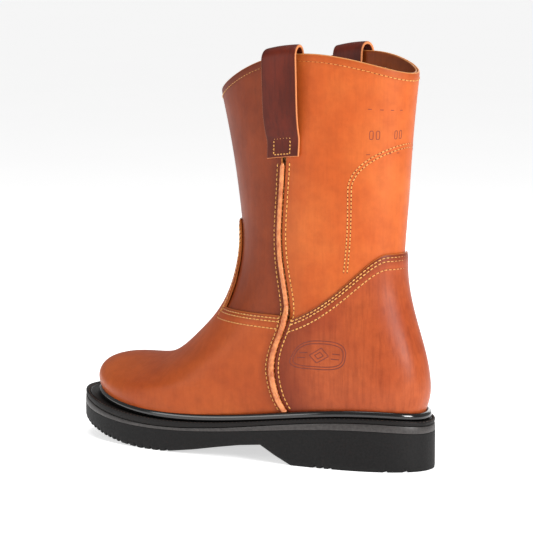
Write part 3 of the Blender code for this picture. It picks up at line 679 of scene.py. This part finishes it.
# ==== Pull straps ===============================
# A loop of dark stirrup leather 28 mm wide over each side of the collar, box-stitched to the
# outside over the end of the piping and sewn in behind the facing. Its cut edges are pale.
STRAP_WIDTH, STRAP_THICKNESS = 28 * MM, 2.4 * MM
STRAP_OUT, STRAP_IN, STRAP_SEWN = 6.2 * MM, -5.5 * MM, 0.35 * MM
STRAP_OUTER_LEG, STRAP_INNER_LEG, STRAP_ARC_DROP = 74 * MM, 45 * MM, 0.8 * MM
BOX_HALF_WIDTH, BOX_FOOT, BOX_TOP = 7 * MM, 2.5 * MM, 14 * MM
COLLAR_AT_SEAM = last_point(seam_angle(float(COLLAR)), float(COLLAR))[2]


def strap_line(count):
    """The strap's inner face from its sewn end: (distance off the last, height against the collar)."""
    leg = [(STRAP_SEWN, -STRAP_OUTER_LEG), (STRAP_SEWN, -STRAP_OUTER_LEG + 13 * MM),
           (0.5 * STRAP_OUT, -54 * MM), (0.85 * STRAP_OUT, -44 * MM), (STRAP_OUT, -30 * MM),
           (STRAP_OUT, -12 * MM)]
    centre, radius = (STRAP_OUT + STRAP_IN) / 2, (STRAP_OUT - STRAP_IN) / 2
    turn = np.radians(np.arange(0, 181, 15))
    loop = [(centre + radius * np.cos(a), radius * np.sin(a) - STRAP_ARC_DROP) for a in turn]
    line = np.array(leg + loop + [(STRAP_IN, -14 * MM), (STRAP_IN, -30 * MM), (STRAP_IN, -STRAP_INNER_LEG)])
    run = np.concatenate([[0], np.cumsum(np.linalg.norm(np.diff(line, axis=0), axis=1))])
    where = crowded(count, run[-1], RIM) * run[-1]
    line = np.stack([np.interp(where, run, line[:, k]) for k in (0, 1)], -1)
    for _ in range(4):
        line[1:-1] = (line[:-2] + 2 * line[1:-1] + line[2:]) / 4
    return line


def strap_grid(side, line, across):
    """Points of the strap's line spread across its width round the leg."""
    height = COLLAR_AT_SEAM + np.minimum(line[:, 1], 0)
    level = level_at_height(np.full(len(line), np.pi / 2), height)[:, None]
    phi = seam_angle(level) + sideways(level, across[None])
    points = raised(side * phi, np.broadcast_to(level, phi.shape), line[:, 0][:, None] + 0 * phi)
    points[..., 2] += np.maximum(line[:, 1], 0)[:, None]
    return points


def grid_normal(points, side):
    """Normals of a grid: the cross product of its two directions."""
    normal = np.cross(np.gradient(points, axis=1), np.gradient(points, axis=0)) * side
    return normal / np.linalg.norm(normal, axis=-1, keepdims=True)


def strap_box(side):
    """Closed box of stitches on the strap's outer face, above its lower end."""
    corner, dense = range(5), np.linspace(0, 4, 80)
    across = np.interp(dense, corner, np.array([-1, -1, 1, 1, -1]) * BOX_HALF_WIDTH)
    up = np.interp(dense, corner, [BOX_FOOT, BOX_TOP, BOX_TOP, BOX_FOOT, BOX_FOOT])
    level = level_at_height(np.full(len(up), np.pi / 2), COLLAR_AT_SEAM - STRAP_OUTER_LEG + up)
    phi = seam_angle(level) + sideways(level, across)
    return row_on_last(side * phi, level, np.full(len(up), STRAP_SEWN + STRAP_THICKNESS))


strap_leather = pull_up_leather("dark_stirrup_leather", "#34100A", "#521808", "#702410", "#DD8A55",
                                roughness=0.5, streak=0.4, edge_dark=0.3)
for side_name, side in (("left", 1), ("right", -1)):
    line = strap_line(90)
    across = (crowded(16, STRAP_WIDTH, RIM) - 0.5) * STRAP_WIDTH
    face = strap_grid(side, line, across)
    normal = grid_normal(face, side)
    middle = face + normal * STRAP_THICKNESS / 2
    strap = shell(side_name + "_strap_loop", middle, normal, STRAP_THICKNESS / 2, None, "strap_leather",
                  strap_leather, skive=0.0)
    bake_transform(strap)
    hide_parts(side_name + "_pull_strap")
    stitches(side_name + "_strap_threads", [strap_box(side)], pitch=2.6 * MM, length=1.8 * MM)

# ==== Pressed marks =============================
# Plain shapes pressed into the damp leather of the heel and the leg with a warm die, which
# leaves narrow burnt lines. They carry no lettering and no numbers.
MARK_HEIGHT = 0.12 * MM
MARK_SECTION = np.array([(-0.5, 0), (-0.25, 1), (0.25, 1), (0.5, 0), (0, -1)])
HEEL_STAMP_ANGLE, HEEL_STAMP_LEVEL, HEEL_LINE = np.radians(120), 3.2, 0.75 * MM
LEG_STAMP_ANGLE, LEG_STAMP_LEVEL, LEG_LINE = np.radians(150), 8.98, 0.55 * MM


def pressed_lines(name, lines, phi0, level0, offset, width):
    """Flat strips along lines given as (round, up) distances in mm from a place on the last."""
    step = 0.01
    point = last_point(phi0, level0)
    by_phi = (last_point(phi0 + step, level0) - point) / step
    by_level = (last_point(phi0, level0 + step) - point) / step
    points, faces, start = [], [], 0
    for line in lines:
        u, v = np.array(line).T * MM
        level = level0 + (v + u * by_phi[2] / np.linalg.norm(by_phi)) / np.linalg.norm(by_level)
        phi = phi0 - u / np.linalg.norm(by_phi)
        centre, normal = raised(phi, level, np.full(len(u), offset)), last_normal(phi, level)
        along = np.gradient(centre, axis=0)
        side = np.cross(normal, along)
        side /= np.linalg.norm(side, axis=-1, keepdims=True)
        ring_points = (centre[:, None] + side[:, None] * MARK_SECTION[:, :1] * width
                       + normal[:, None] * MARK_SECTION[:, 1:] * MARK_HEIGHT)
        closed = np.concatenate([ring_points, ring_points[:, :1]], 1)
        faces += grid_faces(*closed.shape[:2], start=start).tolist()
        points.append(closed.reshape(-1, 3))
        finish = start + closed[..., 0].size
        faces += [list(range(finish - 6, finish - 1)), list(range(start, start + 5))]
        start = finish
    return make_piece(name, np.concatenate(points), faces, "boot", "counter_leather", burnt_line, sharp=60)


def oval(width, height, power=2.0, count=90):
    """Rounded outline in mm: cosine and sine raised to 2 / power, keeping their signs."""
    t = np.linspace(0, 2 * np.pi, count)
    c, s = np.cos(t), np.sin(t)
    return np.stack([width / 2 * np.sign(c) * np.abs(c) ** (2 / power),
                     height / 2 * np.sign(s) * np.abs(s) ** (2 / power)], -1)


burnt_line, tree, shader = material("burnt_stamp_line", Roughness=0.55)
place = add(tree, "TexCoord").outputs["Object"]
tree.links.new(blend_colour(tree, noise(tree, place, 3 * MM), "#4E160A", "#8A3318"),
               shader.inputs["Base Color"])
diamond = np.array([(0, 6), (8, 0), (0, -6), (-8, 0), (0, 6)], float)
diamond = np.stack([np.interp(np.linspace(0, 4, 60), range(5), diamond[:, k]) for k in (0, 1)], -1)
bars = [np.stack([np.linspace(a, b, 12), np.full(12, v)], -1) for a, b, v in
        ((-17, -10.5, 2), (-17, -10.5, -2), (10.5, 17, 2), (10.5, 17, -2))]
pressed_lines("heel_stamp", [oval(44, 22, 3.0), oval(40, 18, 3.0), diamond, diamond * 0.45] + bars,
              HEEL_STAMP_ANGLE, HEEL_STAMP_LEVEL, VAMP_LAYER[1], HEEL_LINE)
dashes = [np.stack([np.linspace(u, u + 2.5, 6), np.full(6, v)], -1)
          for v in (18, -14) for u in (-16, -8, 0, 8)]
pressed_lines("leg_stamp", [oval(2.4, 6, 4, 30) + (u, 0) for u in (-16, -11.5, 3, 7.5)] + dashes,
              LEG_STAMP_ANGLE, LEG_STAMP_LEVEL, 0.0, LEG_LINE)

# ==== Insole board, stiffeners and fillers ======
# The upper is lasted over a fibreboard insole with a glued sewing rib; a drawn steel cap
# covers the toes, a thermoplastic stiffener the heel, and cork paste fills under the board.
# All of these stay as the frame's solids with real finishes.


def plain_finish(name, roughness, a, b, size, bump=0.3, **settings):
    """Finish with two colours mottled at a size, and a bump at the same size."""
    made, tree, shader = material(name, Roughness=roughness, **settings)
    place = add(tree, "TexCoord").outputs["Object"]
    mottle = noise(tree, place, size, 5.0, 0.6)
    tree.links.new(blend_colour(tree, ramped(tree, mottle, 0.35, 0.65), a, b), shader.inputs["Base Color"])
    dull = ramped(tree, mottle, 0.3, 0.7, roughness - 0.06, roughness + 0.06)
    tree.links.new(dull, shader.inputs["Roughness"])
    rough = add(tree, "Bump", {"Height": mottle, "Strength": bump, "Distance": 0.2 * MM})
    tree.links.new(rough.outputs[0], shader.inputs["Normal"])
    return made


def finish_nodes(made, *nodes):
    """Give frame solids a material, in place of the one they came with."""
    for name in nodes:
        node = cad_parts[name]
        node.data.materials.clear()
        node.data.materials.append(made)


finish_nodes(plain_finish("grey_fibreboard", 0.85, "#A58A66", "#8A6F4C", 1.2 * MM),
             "insole_board", "insole_rib", "heel_stiffener")
finish_nodes(plain_finish("cork_paste", 0.9, "#9A6B3E", "#5A3A1E", 1.5 * MM, 0.6),
             "forefoot_filler", "heel_seat_filler")
finish_nodes(plain_finish("painted_drawn_steel", 0.35, "#9A9CA0", "#7C7F84", 4 * MM, 0.1, Metallic=1.0),
             "steel_toe_cap", "steel_shank")
finish_nodes(plain_finish("brass_rivet", 0.3, "#C8A050", "#A67E34", 2 * MM, 0.1, Metallic=1.0),
             "shank_rivet_front", "shank_rivet_rear")
finish_nodes(plain_finish("moulded_edge_rubber", 0.6, "#1C1A1A", "#262323", 1 * MM), "toe_cap_edge_strip")
finish_nodes(plain_finish("split_leather_stay", 0.8, "#B07A48", "#8E5A30", 2 * MM, 0.5), "back_stay")

# ==== Rand and welt =============================
# A glossy black PVC bead stands round the foot of the upper, and outside it lies the welt: a
# black leather strip stitched down with brown waxed thread in close stitches.
SOLE_FRONT, SOLE_BACK, SOLE_SQUARENESS = 157 * MM, -155.5 * MM, 0.84
SOLE_HALF_WIDTHS = np.array([61, 64.5, 49.5, 51, 50]) * MM
FEATHER_HEIGHTS = LAST_SECTIONS[0, 2:7]
MIDSOLE_TOP = np.array([28.5, 21.5, 23.5, 35.5, 34.5]) * MM
OUTSOLE_TOP = np.array([22, 17.5, 20, 29.5, 28.5]) * MM
WELT_TOP = FEATHER_HEIGHTS - 5 * MM
SOLE_COLUMNS, BEAD_POINTS = 361, 20
WELT_STITCH_REACH = 0.85


def sole_height(x, heights):
    """Height at x: the cosine series of the heights at the knots, with x as the cosine."""
    front, back = LAST_ROWS[0, :2]
    share = (x - (front + back) / 2) / ((front - back) / 2)
    return np.polynomial.chebyshev.chebval(share, FAN @ heights)


def sole_point(phi, reach, heights):
    """Point of the sole: reach goes from 0 at the feather edge to 1 at the sole's edge."""
    row = LAST_ROWS[0]
    x0, y0 = outline(phi, row[0], row[1], round_foot(row[7:12], phi), row[13])
    x1, y1 = outline(phi, SOLE_FRONT, SOLE_BACK, round_foot(SOLE_HALF_WIDTHS, phi), SOLE_SQUARENESS)
    x, y = x0 + (x1 - x0) * reach, y0 + (y1 - y0) * reach
    return np.stack([x, y, sole_height(x, heights)], -1) + FOOTPRINT_SHIFT


def sole_strip(name, profile, slot_name, finish, sharp=40):
    """Closed strip round the sole: each (reach, heights) of the profile is one line of it."""
    lines = np.stack([sole_point(sole_angles, reach, heights) for reach, heights in profile + profile[:1]], 1)
    return make_piece(name, lines, grid_faces(*lines.shape[:2]), "boot", slot_name, finish, sharp=sharp)


def off_feather(phi, distance):
    """Reach of the point a distance outside the feather edge: the distance over the sole's margin."""
    feather, edge = (sole_point(phi, reach, FEATHER_HEIGHTS)[..., :2] for reach in (0, 1))
    return distance / np.linalg.norm(edge - feather, axis=-1)


RAND_OUT, RAND_DROP, RAND_HALF_WIDTH, RAND_HALF_HEIGHT = 4.6 * MM, 1.9 * MM, 2.2 * MM, 2.9 * MM
sole_angles = np.linspace(0, 2 * np.pi, SOLE_COLUMNS)
bead_profile = [(off_feather(sole_angles, RAND_OUT + RAND_HALF_WIDTH * np.cos(a)),
                 FEATHER_HEIGHTS - RAND_DROP + RAND_HALF_HEIGHT * np.sin(a))
                for a in np.linspace(0, 2 * np.pi, BEAD_POINTS, endpoint=False)]
gloss_black = plain_finish("glossy_black_pvc", 0.14, "#050505", "#0B0A0A", 8 * MM, 0.05, Coat_Weight=0.5,
                           Coat_Roughness=0.08)
rand = sole_strip("rand_bead", bead_profile, "gloss_black", gloss_black, 180)
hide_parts("rand")

welt_profile = [(-0.5, WELT_TOP), (0.72, WELT_TOP), (0.76, WELT_TOP + 0.5 * MM), (0.80, WELT_TOP - 0.4 * MM),
                (0.90, WELT_TOP - 0.4 * MM), (0.93, WELT_TOP + 0.3 * MM), (0.97, WELT_TOP + 0.2 * MM),
                (0.985, WELT_TOP - 0.5 * MM), (0.985, MIDSOLE_TOP + 1.6 * MM), (0.95, MIDSOLE_TOP + 1.0 * MM),
                (0.95, MIDSOLE_TOP), (-0.5, MIDSOLE_TOP)]
welt_leather = plain_finish("black_welt_leather", 0.55, "#060404", "#120D0A", 1.2 * MM, 0.8,
                            Specular_IOR_Level=0.25)
welt = sole_strip("welt_strip", welt_profile, "welt_black", welt_leather, 30)
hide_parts("welt")
brown_thread = plain_finish("brown_waxed_thread", 0.5, "#4A3226", "#2A1C16", 0.8 * MM, 0.3)


def welt_row():
    """Line of the welt's lockstitch, on the groove in its top."""
    phi = np.linspace(0, 2 * np.pi, 1400)
    line = sole_point(phi, WELT_STITCH_REACH, WELT_TOP - 0.3 * MM)
    return line, np.tile((0.0, 0.0, 1.0), (len(phi), 1))


made, thread, holes = stitch_meshes(*welt_row(), 3.6 * MM, 3.0 * MM, 0.5 * MM)
make_piece("welt_threads", made, thread + holes, "boot", "welt_black", brown_thread, sharp=80)

# ==== Midsole ===================================
# A sheet of dark grey rubber between welt and unit sole. Its edge shows as a paler band: partly the rubber's
# own grey, partly a painted highlight on its bevel.
midsole_profile = [(-0.6, MIDSOLE_TOP - 0.6 * MM), (0.96, MIDSOLE_TOP - 0.6 * MM),
                   (0.985, MIDSOLE_TOP - 1.2 * MM), (1.0, OUTSOLE_TOP + 2.2 * MM),
                   (1.0, OUTSOLE_TOP + 0.8 * MM), (0.985, OUTSOLE_TOP + 0.3 * MM),
                   (-0.6, OUTSOLE_TOP + 0.3 * MM)]
# Paler grey than the sole: partly the rubber's own colour, partly a painted highlight on the edge band.
grey_rubber_and_highlight = plain_finish("grey_rubber_and_painted_highlight", 0.45, "#3E3A38", "#2C2827", 2 * MM, 0.3)
midsole = sole_strip("midsole_band", midsole_profile, "midsole_grey", grey_rubber_and_highlight, 50)
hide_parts("midsole")

# ==== Unit sole =================================
# Nitrile rubber, moulded in one piece with the heel: bars across the tread under the ball,
# finer teeth up the toe, a smooth arch and a slanted heel breast.
UNDERSIDE = np.array([(-160, 0), (-62, 0), (-48, 6.5), (-36, 13), (-18, 11), (0, 8), (22, 4), (42, 1),
                      (52, 0), (72, 0), (92, 1.6), (112, 4.6), (132, 9), (162, 18)]) * MM
BALL_NOTCHES, HEEL_NOTCHES = np.arange(46, 84, 7.5) * MM, np.array([-82, -88, -94, -134, -146]) * MM
NOTCH_HALF_WIDTH, NOTCH_DEPTH = 1.1 * MM, 2.0 * MM
TOE_TEETH_FROM, TOOTH_PITCH, TOOTH_DEPTH = 88 * MM, 5.2 * MM, 1.8 * MM
STATIONS, TREAD_POINTS = 700, 12


def tread_depth(x):
    """Depth of the cuts: narrow notches at the ball and heel, and a rounded tooth wave at the toe."""
    notches = np.concatenate([BALL_NOTCHES, HEEL_NOTCHES])
    cut = np.exp(-((x[:, None] - notches) / NOTCH_HALF_WIDTH) ** 6).max(1) * NOTCH_DEPTH
    wave = smooth(2.2 * (np.cos(2 * np.pi * (x - TOE_TEETH_FROM) / TOOTH_PITCH) + 0.1))
    return np.maximum(cut, wave * TOOTH_DEPTH * smooth((x - TOE_TEETH_FROM) / (5 * MM)))


def unit_sole():
    """Ring at each station across the sole: its top, a side wall, the tread and the other wall."""
    phi = np.linspace(0.006, np.pi - 0.006, STATIONS)
    edge = {side: sole_point(side * phi, 1.0, OUTSOLE_TOP) for side in (1, -1)}
    x = edge[1][:, 0] - FOOTPRINT_SHIFT[0]
    floor = np.interp(x, *UNDERSIDE.T) + tread_depth(x)
    across = np.linspace(1, -1, TREAD_POINTS)[:, None]
    top = edge[-1] + (edge[1] - edge[-1]) * (across[:, None] + 1) / 2
    walls = {}
    for side in (1, -1):
        share = np.array([0.04, 0.3, 0.6, 0.85, 0.95, 1.0])[:, None, None]
        inward = np.array([0, 0, 0, 0, 0.25, 1.0])[:, None] * 1.0 * MM * side
        wall = np.repeat(edge[side][None], len(share), 0)
        wall[..., 2] += (floor - edge[side][:, 2]) * share[..., 0]
        wall[..., 1] -= inward * np.minimum(1, np.abs(np.sin(phi)) * 4)
        walls[side] = wall
    low = walls[-1][-1] + (walls[1][-1] - walls[-1][-1]) * (across[:, None] + 1) / 2
    ring_points = np.concatenate([top, walls[-1], low[::-1][1:-1], walls[1][::-1], top[:1]]).swapaxes(0, 1)
    size = ring_points.shape[1]
    ends = [list(range(size - 1)), list(range((STATIONS - 1) * size, STATIONS * size - 1))]
    return ring_points, grid_faces(STATIONS, size).tolist() + ends


sole_rubber = plain_finish("moulded_nitrile_rubber", 0.6, "#100E0E", "#090808", 1.5 * MM, 0.35,
                           Specular_IOR_Level=0.25)
sole_points, sole_faces = unit_sole()
outsole = make_piece("unit_sole", sole_points, sole_faces, "boot", "sole_rubber", sole_rubber, sharp=35)
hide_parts("outsole")

# ==== Footbed ===================================
# A die-cut slab of open-cell foam under a knitted cover, laid loose in the boot so that it
# can be lifted out.
FOOTBED_TOP, FOOTBED_REACH, FOOTBED_WIDTH = FEATHER_HEIGHTS + 3.9 * MM, -0.68, 90 * MM
COVER_HALF = 0.6 * MM
finish_nodes(plain_finish("open_cell_foam", 0.95, "#B8B4A6", "#8E8A7C", 0.9 * MM, 0.8), "footbed_foam")
phi, share = np.linspace(0.02, np.pi - 0.02, 160), crowded(24, FOOTBED_WIDTH, COVER_HALF)[:, None]
one_side, other_side = (sole_point(side * phi, FOOTBED_REACH, FOOTBED_TOP) for side in (1, -1))
middle = other_side + (one_side - other_side) * share[..., None]
cover = shell("footbed_knit", middle, np.broadcast_to((0.0, 0.0, 1.0), middle.shape), COVER_HALF,
              "footbed", "lining", lining_cloth, rim=COVER_HALF, skive=0.0)
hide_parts("footbed_cover")

# ==== Floor, lights and camera ==================
# A pale floor under soft boxes behind the heel, beside the vamp, overhead and on the inner
# side, and a camera with a long lens a little above the floor.
FLOOR_HALF, BOOT_MIDDLE = 30, Vector((0, 0, 0.14))
CAMERA_PLACE, CAMERA_AIM = Vector((-1.06325, 1.5753, 0.367)), Vector((-0.00855, -0.0052, 0.1398))
CAMERA_LENS, CAMERA_SENSOR = 169.7, 36          # millimetres
floor_mesh = bpy.data.meshes.new("pale_floor")
corners = [(x * FLOOR_HALF, y * FLOOR_HALF, 0) for x, y in ((-1, -1), (1, -1), (1, 1), (-1, 1))]
floor_mesh.from_pydata(corners, [], [(0, 1, 2, 3)])
floor = bpy.data.objects.new("pale_floor", floor_mesh)
bpy.context.scene.collection.objects.link(floor)
paper, tree, shader = material("white_paper_sweep", Roughness=0.9, Emission_Strength=0.62)
shader.inputs["Emission Color"].default_value = (1, 1, 1, 1)
place = add(tree, "TexCoord").outputs["Object"]
tree.links.new(blend_colour(tree, noise(tree, place, 0.5), "#F4F4F4", "#FAFAFA"), shader.inputs["Base Color"])
floor_mesh.materials.append(paper)

world = bpy.data.worlds.new("studio")
bpy.context.scene.world = world
world.use_nodes = True
world.node_tree.nodes["Background"].inputs["Color"].default_value = (1, 1, 1, 1)
world.node_tree.nodes["Background"].inputs["Strength"].default_value = 0.32


def soft_box(name, place, size, power):
    """Square area light aimed at the middle of the boot: place and size in metres, power in watts."""
    light = bpy.data.lights.new(name, "AREA")
    light.size, light.energy = size, power
    box = bpy.data.objects.new(name, light)
    bpy.context.scene.collection.objects.link(box)
    box.location = place
    box.rotation_euler = (BOOT_MIDDLE - box.location).to_track_quat("-Z", "Y").to_euler()


soft_box("heel_box", (-1.55, 0.45, 0.7), 0.6, 22)
soft_box("vamp_box", (1.0, 1.5, 0.6), 0.8, 7)
soft_box("top_box", (0.1, 0.1, 2.0), 1.0, 12)
soft_box("inner_box", (0.3, -1.6, 0.8), 1.2, 8)

camera = bpy.data.objects.new("camera", bpy.data.cameras.new("camera"))
bpy.context.scene.collection.objects.link(camera)
camera.data.lens, camera.data.sensor_width = CAMERA_LENS, CAMERA_SENSOR
camera.location = CAMERA_PLACE
camera.rotation_euler = (CAMERA_AIM - CAMERA_PLACE).to_track_quat("-Z", "Y").to_euler()
bpy.context.scene.camera = camera
bpy.context.scene.view_settings.view_transform = "Standard"
